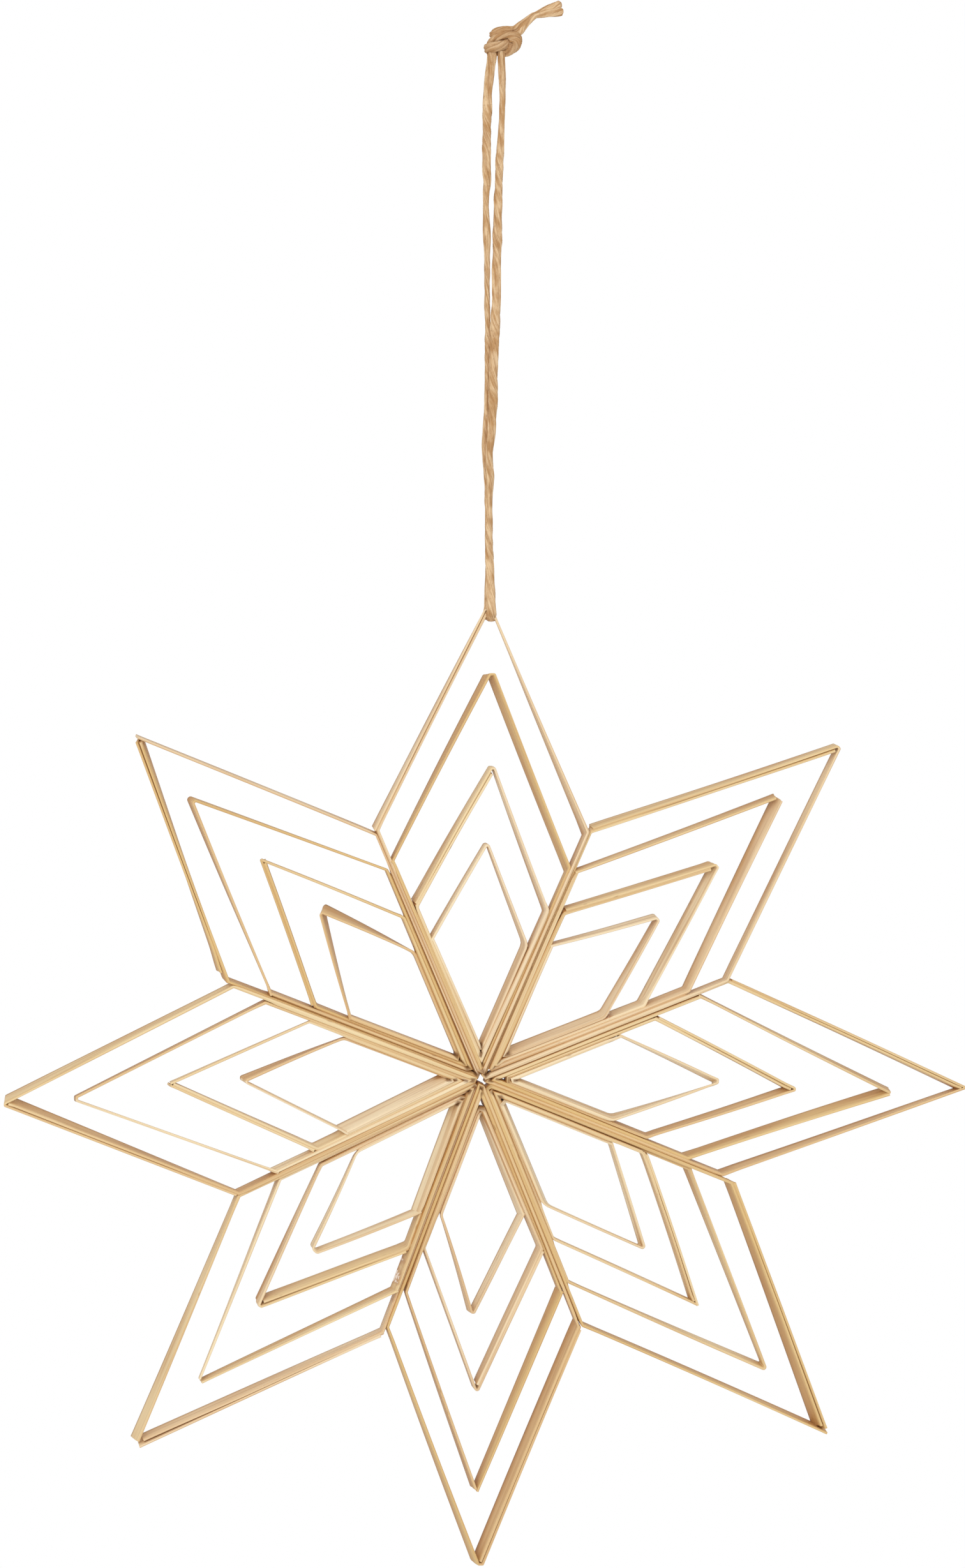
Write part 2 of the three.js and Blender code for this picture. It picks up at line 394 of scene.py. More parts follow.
# The ribbon keeps its broad side to the front, more or less: how far it turns, how slowly, and from where.
LOOP_TURNS = ((0.35, 23, 0), (0.25, 9.1, 1))
BACK_STRAND = [
    (-1.3, -0.8, 2.9, 1.05), (-1.25, -0.7, 1.4, 1.25), (-1.45, -0.1, -1, 1.12), (-2, 0, -7, 1.1),
    (-2.1, 0, -13.5, 1.1), (-2.1, 0, -23, 1.03), (-1.85, 0, -29, 0.95), (-2.05, 0, -33.5, 0.75),
    (-2, 0, -37, 0.75), (-1.65, 0, -42.5, 0.95),
    (-1.5, 0.1, -49, 0.7), (-1.3, 0.4, -58, 0.68), (-0.95, 0.75, -66, 0.7), (-0.8, 0.85, -75, 0.75),
    (-0.8, 0.95, -84, 0.75), (-1, 0.9, -90.5, 0.85), (-1.15, 0.9, -94.5, 1), (-0.9, 1, -98, 0.9),
    (-0.4, 1.1, -104, 0.8), (-0.1, 1.1, -110, 0.8), (0, 1.2, -117, 0.75), (0.25, 2.1, -125, 0.65),
]
FRONT_STRAND = [
    (1.05, -1, 3.1, 0.9), (1.1, -0.6, 1.2, 0.95), (1.35, -0.1, -1.5, 0.85), (1.65, 0, -8.5, 0.75),
    (1.5, 0, -16.5, 0.8), (1.2, 0, -23, 1), (1.1, 0, -29, 1), (0.95, 0, -36, 1.05), (0.95, 0, -43, 1.1),
    (0.9, -0.1, -50, 1.08),
    (0.9, -0.4, -58, 1.15), (0.6, -0.75, -65, 1.15), (0.4, -0.85, -75, 1.1), (0.4, -0.95, -83, 1.1),
    (0.1, -1, -91, 1.05), (-0.3, -1.05, -97, 1), (0, -1.1, -103, 1.05), (-0.2, -1.1, -108, 1),
    (-0.2, -1.15, -113, 1), (-0.05, -1.3, -119, 1.05), (0.1, -2.1, -125, 1.05),
]
bight = [(BIGHT_CENTRE[0], BIGHT_RADIUS * math.cos(a), BIGHT_CENTRE[1] - BIGHT_RADIUS * math.sin(a), half)
         for a, half in zip(np.linspace(0, math.pi, len(BIGHT_WIDTHS)), BIGHT_WIDTHS)]
loop_shape, loop_run = through(BACK_STRAND + bight + FRONT_STRAND[::-1], LOOP_STEP)
loop_line, loop_width = loop_shape[:, :3], loop_shape[:, 3]
loop_length = loop_run[-1]
turning = sum(angle * np.sin(loop_run / length + start) for angle, length, start in LOOP_TURNS)
sideways = carried_along(loop_line, (1, 0, 0))
forwards = np.cross(unit(np.gradient(loop_line, axis=0)), sideways)
turned = sideways * np.cos(turning)[:, None] + forwards * np.sin(turning)[:, None]
loop_thin = LOOP_THIN + THICKER * loop_width
points, faces, grain, crease_shading = raffia(loop_line, loop_run, turned, loop_width, loop_thin, seed=3)
loop = make_piece("raffia_loop", points, faces, grain, {"painted_crease_shade": crease_shading}, sharp=60)
print("loop of", round(loop_length), "mm in", len(loop.data.polygons), "faces")

# %% [markdown]
# ## The knot and its two ends
# Both ends together are tied in one knot. The pair goes up on the left, to the right, round and down,
# behind itself to the left, across the front as a band, in under its own right side, behind to the
# left again, and over the top to the upper right. In the knot it is pulled into one thick bundle, so
# a single sweep with deeper creases stands for it. Each place has the bundle's broader way and half
# its width. Past the knot the two ends are apart: their numbers say where the pair's middle is, how
# far the second strand lies from it, and half the width of each. They lie on each other where they
# are narrow, and spread at their cuts.

# %% Knot
BUNDLE = [
    ((-1.2, 0.5, 1.6), (1, 0, 0), 0.9), ((-1.5, 0.4, 3.4), (1, 0, 0.1), 0.9),
    ((-1.45, -0.3, 5.0), (0.9, 0, -0.5), 0.9), ((-0.6, -1.1, 6.0), (0.5, 0, -0.85), 0.95),
    ((1.0, -1.6, 6.7), (0.4, 0, -0.9), 0.9), ((2.7, -1.7, 7.0), (0, 0, -1), 1),
    ((4.2, -1.5, 6.1), (-0.7, 0, -0.7), 1.45), ((4.35, -1.3, 5.0), (-1, 0, 0), 1.5),
    ((3.6, -1.0, 3.6), (-0.8, 0, 0.6), 1.3), ((2.3, -0.2, 2.5), (-0.5, 0, 0.85), 1),
    ((0.5, 1.2, 2.5), (0, 0, 1), 0.95), ((-1.4, 1.3, 2.9), (0, 0, 1), 1),
    ((-2.3, 0, 3.4), (0, 0, 1), 1.1), ((-1.5, -1.6, 3.8), (0, 0, 1), 1.15),
    ((0.2, -2.2, 4.1), (-0.1, 0, 1), 1.15), ((1.7, -1.7, 4.7), (-0.3, 0, 0.95), 1.05),
    ((2.8, -0.4, 5.3), (-0.3, 0, 0.95), 0.95), ((2.6, 1.0, 5.8), (0, 0, 1), 0.9),
    ((1.0, 1.7, 6.2), (0, 0, 1), 0.9), ((-0.6, 1.2, 6.6), (-0.2, 0, 1), 0.95),
    ((-1.0, -0.1, 7.0), (-0.5, 0, 0.85), 1), ((0.1, -0.9, 7.7), (-0.55, 0, 0.85), 1),
    ((1.9, -0.9, 8.15), (-0.1, 0, 1), 0.95), ((3.5, -0.6, 8.0), (-0.1, 0, 1), 0.9),
]
ENDS = [
    ((3.2, -0.3, 7.7), (-0.4, 0, 0.6), 0.75), ((5.0, -0.2, 7.9), (-0.45, 0, 0.5), 0.85),
    ((6.2, -0.1, 9.1), (-0.35, 0, 0.35), 0.75), ((7.4, 0, 10.15), (-0.2, 0.25, 0.2), 0.72),
    ((9.1, 0, 11.5), (-0.1, 0.4, 0.1), 0.7), ((9.9, 0, 11.8), (-0.05, 0.4, 0.1), 0.7),
    ((12.6, 0, 12.75), (-0.1, 0.25, 0.55), 0.9), ((14.5, 0, 13.2), (-0.15, 0.25, 0.75), 1.05),
    ((16.0, 0, 13.6), (-0.15, 0.25, 0.8), 1.1),
]
KNOT_STEP = 0.3
# Painted shade added over the whole knot.
KNOT_PAINTED_SHADE = 0.45
BUNDLE_THIN = 0.85
ENDS_THIN = (0.62, 0.42)


def joined(parts):
    """The points and the faces of several parts, as those of one mesh."""
    all_faces = []
    first = 0
    for points, faces in parts:
        all_faces += [tuple(i + first for i in face) for face in faces]
        first += len(points)
    return np.vstack([points for points, _ in parts]), all_faces


def numbers_along(places):
    """Line, broad way, half width and length of a path given as (place, way, half width)."""
    shape, run = through([(*place, *way, half) for place, way, half in places], KNOT_STEP)
    return shape[:, :3], shape[:, 3:6], shape[:, 6], run


line, way, half, bundle_run = numbers_along(BUNDLE)
strands = [raffia(line, bundle_run, way, half, BUNDLE_THIN * half, seed=11, gathered=2)]
line, way, half, ends_run = numbers_along(ENDS)
half_thin = np.linspace(*ENDS_THIN, len(line))
for seed, sign in ((12, -1), (13, 1)):
    strands.append(raffia(line + way * sign, ends_run, way * (1, 0, 1), half, half_thin, seed, cut=True))
points, faces = joined([strand[:2] for strand in strands])
grain = np.vstack([strand[2] + np.array([k, 0, 0]) for k, strand in enumerate(strands)])
# The knot is painted darker all over, as shade between its packed strands.
crease_shading = np.concatenate([np.clip(strands[0][3] + KNOT_PAINTED_SHADE, 0, 1), strands[1][3], strands[2][3]])
knot = make_piece("raffia_knot", points, faces, grain, {"painted_crease_shade": crease_shading}, sharp=60)

for piece, nodes in ((loop, ["cord_loop"]), (knot, ["knot", "cord_end_upper", "cord_end_lower"])):
    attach(piece, "root")
    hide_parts(*nodes)
loop_length * MM
(loop_line * MM).tolist()
print("twine in the knot and ends:", round(2 * (bundle_run[-1] + ends_run[-1])), "mm")

# %% [markdown]
# ## Reading a strip's folds from its solid
# Each solid frame is a flat strip standing on edge, so seen from the front it is a narrow closed
# outline: one side of the strip out, the other side back. Only two of the outline's edges are as long
# as the strip is thick and square to both their neighbours. Those are the strip's cut ends, and
# halfway between the outline's two sides runs the line of the folds.

# %% Folds
HUB = np.array([0.0, -253.5])
SAME_PLACE = 1e-6
SAME_PLANE = 1e-5
FACES_FRONT = -0.9
SQUARE = 0.01
LONGEST_CUT = 1


def front_outline(node):
    """The corners of a solid strip's front edge, in order, in millimetres from the hub."""
    solid = bmesh.new()
    solid.from_mesh(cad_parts[node].data)
    bmesh.ops.remove_doubles(solid, verts=solid.verts, dist=SAME_PLACE)
    solid.normal_update()
    front = min(v.co.y for v in solid.verts) + SAME_PLANE
    nearby = {}
    for edge in solid.edges:
        fronts = sum(f.normal.y < FACES_FRONT for f in edge.link_faces)
        if fronts == 1 and all(v.co.y < front for v in edge.verts):
            for corner in edge.verts:
                nearby.setdefault(corner, []).append(edge.other_vert(corner))
    walk = [next(iter(nearby))]
    while len(walk) < len(nearby):
        walk.append(next(v for v in nearby[walk[-1]] if v not in walk[-2:]))
    corners = np.array([(v.co.x, v.co.z) for v in walk]) / MM - HUB
    solid.free()
    return corners


def folds_of(node):
    """A strip's cut ends and folds, from end to end, starting at the end that runs to the hub first."""
    corners = front_outline(node)
    count = len(corners)
    edges = np.roll(corners, -1, axis=0) - corners
    lengths = norm(edges, axis=1)
    square = [abs(unit(edges[i]) @ unit(edges[i - 1])) < SQUARE for i in range(count)]
    cuts = [i for i in range(count)
            if square[i] and square[(i + 1) % count] and lengths[i] < LONGEST_CUT]
    assert len(cuts) == 2, (node, cuts)
    ordered = np.roll(corners, -cuts[0] - 1, axis=0)
    path = (ordered[:count // 2] + ordered[count // 2:][::-1]) / 2
    reach = norm(path, axis=1)
    return path if reach[1] < reach[-2] else path[::-1]


for sample in ("top_frame_1", "top_frame_2"):
    print(sample, "has folds at", folds_of(sample).round(1).tolist())

# %% [markdown]
# ## Folds as straw makes them
# Straw can't be creased sharply. Some tips bend round, some are blunt with two bends, some have
# cracked so that their fibres stand up, and some have broken through, so that the two sides only
# meet. All four kinds are on the real star, and the first tables say which tip is which.
#
# No strip stands quite square either. Most sides lean and twist, so one shows as a thin line and the
# next as a broad band. Those leans are most of what makes the star look made by hand, and they were
# judged side by side from its front: how far a side's back edge sits outside its front edge.

# %% What each tip and each side is like
POINT_NAMES = ["top", "upper_right", "right", "lower_right", "bottom", "lower_left", "left", "upper_left"]
# How many frames each point has, one inside the other.
NESTED = 4
TIP_KINDS = {
    "top": ("round", "blunt", "blunt", "round"),
    "upper_right": ("blunt", "broken", "cracked", "round"),
    "right": ("round", "broken", "cracked", "cracked"),
    "lower_right": ("broken", "round", "broken", "round"),
    "bottom": ("blunt", "broken", "round", "blunt"),
    "lower_left": ("broken", "broken", "cracked", "round"),
    "left": ("blunt", "blunt", "broken", "round"),
    "upper_left": ("broken", "round", "blunt", "blunt"),
}
FOLD_RADIUS = {"round": 0.7, "blunt": 0.3, "cracked": 0.25, "broken": 0.3}
CRACK_DEPTH = {"round": 0.05, "blunt": 0.05, "cracked": 0.45, "broken": 0.1}
# How far the clockwise and the anticlockwise side of a broken tip run past it, in millimetres.
BROKEN_ENDS = {
    "upper_right_frame_2": (0.6, 0.0), "right_frame_2": (0.4, 0.4), "lower_right_frame_1": (1.0, 0.0),
    "lower_right_frame_3": (0.3, 0.5), "bottom_frame_2": (0.1, 0.7), "lower_left_frame_1": (0.1, 0.7),
    "lower_left_frame_2": (0.2, 0.5), "left_frame_3": (0.5, 0.6), "upper_left_frame_1": (0.5, 0.0),
}
# Outward leans of each point's four frames: the clockwise side at the tip and at the spoke, then the
# anticlockwise side at the tip and at the spoke.
LEANS = {
    "top": ((0.5, -1.1, -1, 0), (-1.3, -1.1, 0.4, -0.2), (-0.1, -0.7, -0.2, 0.4), (0, -0.5, -0.3, 0)),
    "upper_right": ((0, -0.2, -0.2, 0.3), (-1.5, -0.9, 0.2, -0.1),
                    (-1.1, -0.9, 0.3, 0.1), (-0.2, -0.7, 0.2, -0.2)),
    "right": ((0.4, -0.4, -1, -0.4), (-1.1, -0.5, 0.4, -0.1), (-0.4, 0, -0.7, -0.4), (1.3, -0.3, -1.5, -0.6)),
    "lower_right": ((-0.3, 0, -1.8, -1), (-0.4, 0.4, -0.2, -1),
                    (0.2, 0.3, -0.4, -0.2), (0.4, 0.4, -0.6, -0.3)),
    "bottom": ((1, 0.2, -1.2, -1), (0.6, 0, -0.5, -1), (0.1, 0.1, -0.1, -0.3), (0.5, -0.3, -0.3, -0.4)),
    "lower_left": ((1.2, 0, -0.8, 0.2), (-0.8, 0, 0.2, -0.3), (0.4, -0.4, -0.9, -0.5), (-0.1, -0.7, 0, -0.3)),
    "left": ((0.6, 0.1, -1.3, 0.4), (-0.7, -0.4, 0.7, 0.7), (-0.7, -1, 0.4, 0.1), (0.5, -0.9, 0.3, 0.3)),
    "upper_left": ((-0.1, 0, -1.4, 0.5), (-0.1, -0.5, 0.7, -0.3),
                   (-0.4, -0.4, -0.4, -0.4), (1.7, -0.6, -1.8, -0.4)),
}
# Many sides also stand a little further out or in, as a whole. These are in the same order.
STILL = (0, 0, 0, 0)
SHIFTS = {
    "top": ((0.4, 0.6, 0.6, -0.4), (0.35, 0.5, 0.1, 0.7), (0.2, 0.5, 0, -0.3), STILL),
    "upper_right": ((0, 0, 0.2, -0.9), (0.9, 0, 0.2, -1.2), (0.4, 0, 0, -0.5), (0, -0.6, 0.2, 0.2)),
    "right": ((-0.3, 0, 0, -0.9), (0, 0, 0, 0.6), STILL, (-0.3, -0.3, 0.5, 0)),
    "lower_right": ((0.6, 0.5, 0, 1), (0, -0.9, 0, 0.3), (-0.2, -0.6, -0.3, -0.6), (0, -0.6, 0, 0.4)),
    "bottom": ((-0.5, 0, 0.7, 0.6), (0, 0, 0, 0.8), STILL, STILL),
    "lower_left": ((0, 0, 0.9, 0.3), (0.7, -0.8, 0, -0.5), STILL, (0.5, 0, 0.3, 0)),
    "left": (STILL, (0.3, 0.6, 0, -0.5), (0.6, 0.5, -0.3, -0.5), (-0.3, 0.2, 0.2, 0.5)),
    "upper_left": ((0.4, 0, 0.2, 0.6), (0.2, 0.6, 0, 0), (-0.2, 0, -0.2, 0), (0, 0, 0, 0.4)),
}
# The colours of strips: how brown, and how yellow instead of rosy, from 0 to 1. Where two are named,
# the first is the clockwise side's and the second the anticlockwise side's.
LOOKS = {
    "pale": (0.1, 0.4), "rosy": (0.5, 0.1), "gold": (0.5, 0.8), "olive": (0.95, 1.0), "brown": (1.0, 0.3),
}
STRIP_LOOKS = {
    "top": ("rosy", "olive", "rosy gold", "rosy pale"),
    "upper_right": ("rosy gold", "rosy gold", "pale gold", "rosy pale"),
    "right": ("brown gold", "olive gold", "brown gold", "pale"),
    "lower_right": ("olive", "gold", "gold", "pale"),
    "bottom": ("olive brown", "brown olive", "rosy", "rosy pale"),
    "lower_left": ("gold rosy", "pale gold", "rosy gold", "pale"),
    "left": ("gold brown", "brown pale", "gold", "brown pale"),
    "upper_left": ("rosy olive", "olive brown", "gold olive", "brown"),
}
# Where glue has been squeezed out and dried, in millimetres from the hub to the right and up.
GLUE_SPOTS = (
    (-19.8, -46), (-20.7, -49.2), (-21.5, -52), (-22, -55.2), (21.3, -57.3), (31.6, 16.2),
)
# The laps of frames 1 and 3: how far the front edge of the strip's inner end stands off the layer over
# it, how far that end runs on towards the tip, and how far the outer end runs on past the bend. A lap
# that doesn't gape is glued up to its edge. Other strips have no lap, and their ends run on a little.
LAPS = {
    "top": ((0.05, 0.8, 1.2), (0.1, 0.8, 0.3)), "upper_right": ((0.25, 0.8, 0.3), (0.0, 0.8, 0.3)),
    "right": ((0.08, 1.3, 0.3), (0.1, 1.3, 0.3)), "lower_right": ((0.15, 0.8, 0.8), (0.12, 1.3, 0.3)),
    "bottom": ((0.05, 1.3, 0.3), (0.0, 0.8, 0.3)), "lower_left": ((0.5, 0.8, 0.3), (0.2, 0.8, 0.3)),
    "left": ((0.1, 1.5, 0.3), (0.0, 2.1, 0.3)), "upper_left": ((0.15, 1.5, -2.2), (0.0, 1.4, 0.3)),
}
NO_LAP = (0.0, 0.5, 0.5)
print("broken tips:", len(BROKEN_ENDS), "of", NESTED * len(POINT_NAMES))

# %% [markdown]
# ## A strip's section
# Split straw is a thin flat lath with crisp edges, a little cupped across its width. The section is
# drawn as two faces of seven points and two edges of five, which is enough for the edges to catch
# the light and for a cut end to be ragged across its width. In a spoke the glue has run in between
# the strips, in some seams up to their edges and in others not quite, so there the section is
# swollen in the middle, and its rim follows more or less.

# %% Section
STRIP_WIDTH = 5.2
STRIP_THICKNESS = 0.56
EDGE_ROUND = 0.15
FACE_POINTS = 7

face_rows = np.linspace(-STRIP_WIDTH / 2 + EDGE_ROUND, STRIP_WIDTH / 2 - EDGE_ROUND, FACE_POINTS)
edge_rise = EDGE_ROUND * np.array([0.5, 0.88, 1.0, 0.88, 0.5])
edge_side = np.array([0.45, 0.29, 0.0, -0.29, -0.45])
EDGE_POINTS = len(edge_rise)
section_depth = np.concatenate([face_rows, face_rows[-1] + edge_rise,
                                face_rows[::-1], face_rows[0] - edge_rise])
section_side = np.concatenate([np.full(FACE_POINTS, 0.5), edge_side,
                               np.full(FACE_POINTS, -0.5), -edge_side])
section_back = section_depth / STRIP_WIDTH + 0.5
section_middle = np.abs(section_depth) < STRIP_WIDTH / 2 - 2 * EDGE_ROUND
section_rim = np.isclose(np.abs(section_depth), face_rows[-1])
SECTION_POINTS = len(section_depth)


def cut_end(first):
    """Faces that close a strip's end, whose ring starts at the given point."""
    far = 2 * FACE_POINTS + EDGE_POINTS - 1
    faces = [(k, k + 1, far - k - 1, far - k) for k in range(FACE_POINTS - 1)]
    faces.append(tuple(range(FACE_POINTS - 1, FACE_POINTS + EDGE_POINTS + 1)))
    faces.append((*range(far, SECTION_POINTS), 0))
    return [tuple(first + i for i in face) for face in faces]


print("points in a section:", SECTION_POINTS)

# %% [markdown]
# ## Rounding the folds
# A strip follows the line of its folds, but not round sharp corners: every corner becomes a short arc,
# and long straight stretches are cut into steps. Each point keeps the number of the fold that it is at
# or between, so that whatever is known at the folds can be read off anywhere along the strip.

# %% Rounding
LONGEST_STEP = 2.0
ARC_DEGREES = 13
# The share of a stretch that the arc at one of its ends may take up.
ARC_ROOM = 0.48


def rounded(path, radii):
    """Points along the path with its folds turned into arcs, and the fold numbers of those points."""
    bent = [(0.0, path[0])]
    for k in range(1, len(path) - 1):
        before, fold, after = path[k - 1:k + 2]
        if radii[k] == 0:
            bent.append((float(k), fold))
            continue
        room_in, room_out = norm(before - fold), norm(after - fold)
        way_in, way_out = (before - fold) / room_in, (after - fold) / room_out
        turn = math.pi - math.acos(np.clip(way_in @ way_out, -1, 1))
        reach = min(radii[k] * math.tan(turn / 2), ARC_ROOM * min(room_in, room_out))
        start, end = fold + way_in * reach, fold + way_out * reach
        for t in np.linspace(0, 1, max(3, round(math.degrees(turn) / ARC_DEGREES))):
            number = k - (1 - t) * reach / room_in + t * reach / room_out
            bent.append((number, (1 - t) ** 2 * start + 2 * t * (1 - t) * fold + t * t * end))
    bent.append((len(path) - 1.0, path[-1]))
    numbers, line = [bent[0][0]], [bent[0][1]]
    for (number, one), (next_number, other) in zip(bent, bent[1:]):
        pieces = max(1, math.ceil(norm(other - one) / LONGEST_STEP))
        numbers += [number + (next_number - number) * k / pieces for k in range(1, pieces + 1)]
        line += [one + (other - one) * k / pieces for k in range(1, pieces + 1)]
    return np.array(line), np.array(numbers)


corner = np.array([(0, 0), (5, 0), (5, 5)], float)
print("a right angle becomes", len(rounded(corner, [0, 1, 0])[0]), "points")

# %% [markdown]
# ## Bending a strip
# The section is set up at every point of the rounded line. A slant for each fold says how far the back
# of the strip is moved there against its front, and between folds it changes evenly, so the sides twist
# as real ones do. The strip also bows a little, wanders in depth, and has ragged ends. All of it is
# drawn from a seeded generator, so the star comes out the same each time.

# %% Bending
SHARPEST = 0.42
# How many times faster than the whole side a strip comes free of the spoke, and its lap opens.
FREE_RATE = 14
LAP_RATE = 3
SPLAY_LENGTH = 7
GLUED_THICKNESS = 1.25
CLOSED_SEAM = 0.9
GLUE_FADE = 1.5
CRACK_LENGTH = 0.9
CRACK_ROWS = (-0.3, 1)
TEAR_SLOPE = 0.8
TEAR_ROWS = 0.4
SPOKE_WANDER = {"count": 4, "heights": (0.008, 0.02), "lengths": (5, 14)}
DEPTH_WANDER = {"count": 4, "heights": (0.014, 0.035), "lengths": (6, 30)}


def smooth_step(values):
    values = np.clip(values, 0, 1)
    return values * values * (3 - 2 * values)


def turned_right(way):
    """A flat direction, or a row of them, turned clockwise by a right angle."""
    return np.stack([way[..., 1], -way[..., 0]], axis=-1)


def bend_strip(path, radii, slants, shape, rng, ragged):
    """Points, faces and grain of one strip along a path. shape holds what its whole frame shares."""
    line, numbers = rounded(path, radii)
    run = length_along(line)
    stretches = unit(np.diff(line, axis=0))
    turning = (np.vstack([stretches[:1], stretches]) + np.vstack([stretches, stretches[-1:]])) / 2
    ahead = unit(turning)
    # At a sharp fold the section is stretched, so that the strip keeps its thickness round the corner.
    mitre = 1 / np.maximum(SHARPEST, norm(turning, axis=1))
    aside = turned_right(ahead) * mitre[:, None]
    slant = np.column_stack([np.interp(numbers, range(len(path)), slants[:, k]) for k in range(2)])
    axis = shape["axis"]
    clockwise = turned_right(axis)
    along = line @ axis
    towards_tip = np.clip((along - shape["spoke_end"]) / (shape["tip"] - shape["spoke_end"]), 0, 1)
    free = smooth_step(towards_tip * FREE_RATE)
    which_side = np.sign(line @ clockwise)

    # The whole section moves sideways by the bow, and its front alone by the gape of a lap.
    bow = np.where(which_side < 0, *shape["bows"]) * np.sin(math.pi * towards_tip)
    bow += waves(run, rng, **SPOKE_WANDER) * (1 - free)
    in_lap = run < shape["first_side"]
    gape = in_lap * shape["gape"] * smooth_step(towards_tip * 2 - 1)
    left = run[-1] - run
    splay = (left < shape["last_side"]) * shape["splay"] * smooth_step(1 - left / SPLAY_LENGTH)
    shift = (which_side * (bow + splay))[:, None] - (which_side * gape)[:, None] * (1 - section_back)

    # The section is thicker in a spoke, and swollen by glue on the sides where it has a neighbour.
    thickness = STRIP_THICKNESS * free + shape["spoke_thickness"] * (1 - free)
    glue_outside, glue_inside = [smooth_step((end - along) / GLUE_FADE)[:, None] for end in shape["glued_to"]]
    glue_outside = np.maximum(glue_outside, in_lap[:, None])
    glue = np.where(section_side > 0, glue_outside, glue_inside)
    filled = np.where(section_side > 0, *shape["filled"]) * (1 - free)[:, None]
    # A lap's own seam is glued shut near the spoke, and up to its tip where it doesn't gape.
    opening = smooth_step(towards_tip * LAP_RATE) if shape["gape"] else np.zeros_like(run)
    lap_filled = (in_lap * CLOSED_SEAM * (1 - opening))[:, None]
    filled = np.where(section_side > 0, np.maximum(filled, lap_filled), filled)
    glue = glue * (section_middle + section_rim * filled)
    thickness = thickness[:, None] + (GLUED_THICKNESS - thickness)[:, None] * glue
    wander = waves(run, rng, **DEPTH_WANDER)
    sunk = np.where(which_side < 0, *shape["sunk"]) * (1 - smooth_step(towards_tip))
    depth = section_depth * (1 + 0.5 * wander)[:, None] + (sunk + wander)[:, None]
    cup = shape["cup"] * ((section_depth / STRIP_WIDTH * 2) ** 2 - 0.4)
    side = section_side * thickness + cup * free[:, None]
    flat = (line[:, None] + aside[:, None] * side[..., None] + clockwise * shift[..., None]
            + slant[:, None] * section_back[:, None])

    # Ragged ends and cracked folds move along the strip, row by row of its width.
    rows = np.abs(section_depth[:, None] - face_rows).argmin(axis=1)
    slope = np.linspace(-1, 1, FACE_POINTS)
    for end, rag in zip((0, -1), ragged):
        tear = rng.uniform(-TEAR_SLOPE, TEAR_SLOPE) * slope + rng.uniform(-TEAR_ROWS, TEAR_ROWS, FACE_POINTS)
        flat[end] += ahead[end] * (rag * tear)[rows][:, None]
    crack = rng.uniform(*CRACK_ROWS, FACE_POINTS)[rows] * shape["crack"]
    at_tip = smooth_step(1 - (shape["tip"] - along) / CRACK_LENGTH)
    flat += axis * (at_tip[:, None] * crack)[..., None]

    points = np.stack([flat[..., 0] + HUB[0], depth, flat[..., 1] + HUB[1]], axis=-1)
    count = len(line)
    faces = ring_faces(count, SECTION_POINTS) + cut_end(0) + cut_end((count - 1) * SECTION_POINTS)
    grain = np.stack([np.broadcast_to(run[:, None], depth.shape),
                      np.broadcast_to(section_depth, depth.shape), side], axis=-1) * MM
    return points.reshape(-1, 3), faces, grain.reshape(-1, 3)


print("a strip is torn and cracked in", FACE_POINTS, "rows")

# %% [markdown]
# ## From the leans to a slant at every fold
# A fold is one straight line from the front of the strip to its back, and both sides that meet there
# share it. So two leans fix it: at the tip the leans of the frame's two sides, and at a bend the
# lean of the side that leaves and of the spoke's own strip. In the spokes the strips fan out towards
# the back, because the glue at their fronts draws them together, in some spokes much more than in
# others. The innermost strips lean most.

# %% Slants
# How far the innermost strips lean, from the spoke right of the top point on, clockwise.
SPOKE_FANS = (0.05, 1.25, 0.55, 0.85, 1.05, 1.45, 0.1, 0.0)
FAN_SHARES = (0.0, 0.2, 0.45, 1.0)


def outwards(stretch, sideways):
    """The direction square to a stretch of strip, on the side that sideways points to."""
    square = unit(turned_right(stretch))
    return square if square @ sideways > 0 else -square


def shared_slant(first, first_lean, second, second_lean):
    """The one slant that gives two stretches their leans, each in its own outward direction."""
    return np.linalg.solve(np.array([first, second]), [first_lean, second_lean])


def meeting(place, way, other_place, other_way):
    """Where two straight lines meet."""
    reach = np.linalg.solve(np.column_stack([way, -other_way]), other_place - place)[0]
    return place + way * reach


print("a slant for two leans of 1 mm:", shared_slant([0.9, 0.4], 1, [-0.9, 0.4], 1).round(2))

# %% [markdown]
# ## Where a frame's folds stand
# Frames 1 and 3 of each point are lapped: their strip lies on its own first side again, so that side
# is double. Frames 2 and 4 go round once, and their two ends meet at a bend. Each frame has two halves
# that are treated alike, the clockwise one first: a fold at the hub, the spoke, a bend, and a side up
# to the tip. The glued spokes are drawn together a little more than the solids are, so that only some
# seams show as dark lines, and the folds at the hub are crushed, so that small holes are left there.

# %% Folds of one frame
TIP_SPREAD = 0.3
LEAST_SPREAD = 0.1
# How far each frame is drawn towards its neighbour outside, and how unevenly.
SQUEEZE = 0.08
UNEVEN = 0.25
SPOKE_LEAN = 0.35
# How far the folds at the hub stop short of a sharp corner. The longest leave a small hole there.
HUB_CRUSH = (0.6, 0.1, 0.2, 0.5)
MORE_CRUSH = (0.0, 0.2, 0.6, 1.2)
OTHER_HUB_CRUSH = {
    "right_frame_3": 1.7, "bottom_frame_3": 1.7, "lower_right_frame_2": 1.5, "lower_right_frame_4": 1.7,
    "upper_right_frame_2": 0.3, "top_frame_4": 0.5,
}


def is_lapped(level):
    return level % 2 == 0


